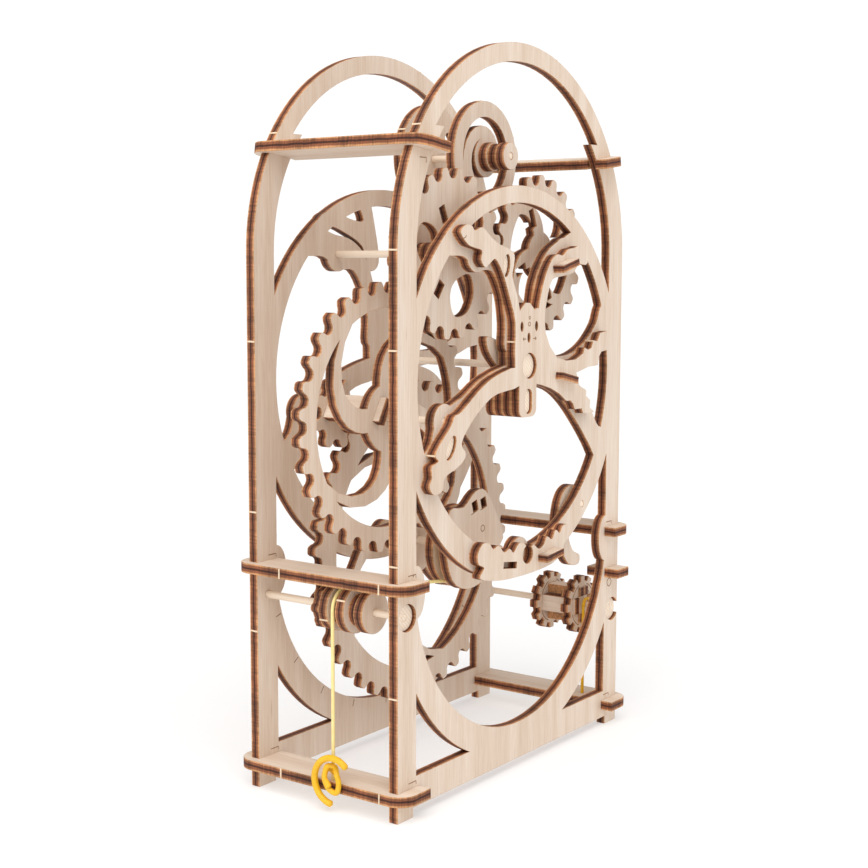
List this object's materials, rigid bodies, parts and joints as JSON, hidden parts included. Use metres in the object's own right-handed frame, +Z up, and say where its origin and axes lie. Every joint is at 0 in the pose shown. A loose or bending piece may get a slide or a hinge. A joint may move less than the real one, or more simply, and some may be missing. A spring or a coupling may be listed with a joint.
{
  "type": "wooden gear tower puzzle",
  "caption": "Laser-cut plywood gear tower puzzle: two arched plates joined by slats, holding a coupled train of toothed wheels, a cord spool and swinging levers.",
  "frame": {"origin": "bottom centre of the box around the whole puzzle, at the level of the feet", "axes": "+X along the width of the arched plates, +Y from the front plate to the rear plate, +Z up"},
  "size_m": [0.1735, 0.0778, 0.26],
  "materials": {
    "plywood": "laser-cut birch plywood, raw",
    "inner_plywood": "laser-cut birch plywood, raw, shaded pieces",
    "dowel_wood": "smooth round birch dowel",
    "elastic_cord": "yellow rubber cord"
  },
  "bodies": {
    "frame": {"front_plate": "plywood", "rear_plate": "plywood", "front_ornament": "plywood", "shrub_ornament": "plywood", "tongue_stack": "inner_plywood", "slat_top_left": "plywood", "slat_top_right": "plywood", "slat_mid_left": "plywood", "slat_mid_right": "plywood", "slat_low_left": "plywood", "slat_low_right": "plywood", "tongue_peg": "dowel_wood", "snail_bracket": "inner_plywood", "dowel_upper_left": "dowel_wood", "dowel_upper_right": "dowel_wood", "peg_leaf": "dowel_wood", "peg_left": "dowel_wood", "tab_right": "inner_plywood", "tab_upper_right": "inner_plywood", "tab_lower": "inner_plywood", "side_peg": "inner_plywood", "pawl_pin": "dowel_wood", "cord_left": "elastic_cord", "cord_knot": "elastic_cord", "cord_right": "elastic_cord"},
    "great": {"great_wheel": "plywood", "great_arbor": "dowel_wood", "drum_flange_front": "plywood", "drum_core": "inner_plywood", "drum_flange_rear": "plywood", "cord_coil": "elastic_cord"},
    "second": {"second_wheel": "plywood", "star_pinion": "inner_plywood", "rung_upper": "inner_plywood", "rung_lower": "inner_plywood", "second_arbor": "dowel_wood"},
    "third": {"third_wheel": "plywood", "third_pinion": "inner_plywood", "third_sleeve": "inner_plywood"},
    "fourth": {"fourth_wheel": "plywood"},
    "snail": {"snail_ring": "plywood", "snail_disc": "inner_plywood", "snail_knob": "inner_plywood", "snail_arbor": "dowel_wood"},
    "spool": {"spool_ratchet": "plywood", "spool_flanges": "plywood", "spool_cores": "inner_plywood", "spool_arbor": "dowel_wood", "spool_plug": "dowel_wood"},
    "lantern": {"lantern_front": "plywood", "lantern_rear": "plywood", "lantern_rungs": "inner_plywood", "lantern_arbor": "dowel_wood", "lantern_plug": "dowel_wood"},
    "pallet": {"pallet_lever": "inner_plywood", "pallet_arbor": "dowel_wood"},
    "pawl": {"pawl_lever": "inner_plywood"}
  },
  "joints": [
    {"name": "great_wheel_spin", "type": "hinge", "parent": "frame", "child": "great", "pos_m": [0.00664, 0, 0.0795], "axis": [0, 1, 0], "continuous": true},
    {"name": "second_wheel_spin", "type": "hinge", "parent": "frame", "child": "second", "pos_m": [-0.04047, 0, 0.13128], "axis": [0, 1, 0], "continuous": true},
    {"name": "third_wheel_spin", "type": "hinge", "parent": "frame", "child": "third", "pos_m": [-0.02136, 0, 0.18688], "axis": [0, 1, 0], "continuous": true},
    {"name": "fourth_wheel_spin", "type": "hinge", "parent": "frame", "child": "fourth", "pos_m": [0.03464, 0, 0.18688], "axis": [0, 1, 0], "continuous": true},
    {"name": "snail_spin", "type": "hinge", "parent": "frame", "child": "snail", "pos_m": [0.01364, 0, 0.222], "axis": [0, 1, 0], "continuous": true},
    {"name": "spool_spin", "type": "hinge", "parent": "frame", "child": "spool", "pos_m": [-0.06076, 0, 0.0684], "axis": [0, 1, 0], "continuous": true},
    {"name": "lantern_spin", "type": "hinge", "parent": "frame", "child": "lantern", "pos_m": [0.07524, 0, 0.0464], "axis": [0, 1, 0], "continuous": true},
    {"name": "pallet_swing", "type": "hinge", "parent": "frame", "child": "pallet", "pos_m": [0.00664, 0, 0.1476], "axis": [0, 1, 0], "range_deg": [-10, 10]},
    {"name": "pawl_swing", "type": "hinge", "parent": "frame", "child": "pawl", "pos_m": [0.05064, 0, 0.092], "axis": [0, 1, 0], "range_deg": [-6, 6]}
  ],
  "couplings": [
    {"joint": "great_wheel_spin", "follows": "second_wheel_spin", "ratio": -0.19048},
    {"joint": "third_wheel_spin", "follows": "second_wheel_spin", "ratio": -3.2},
    {"joint": "fourth_wheel_spin", "follows": "second_wheel_spin", "ratio": 3.2}
  ]
}
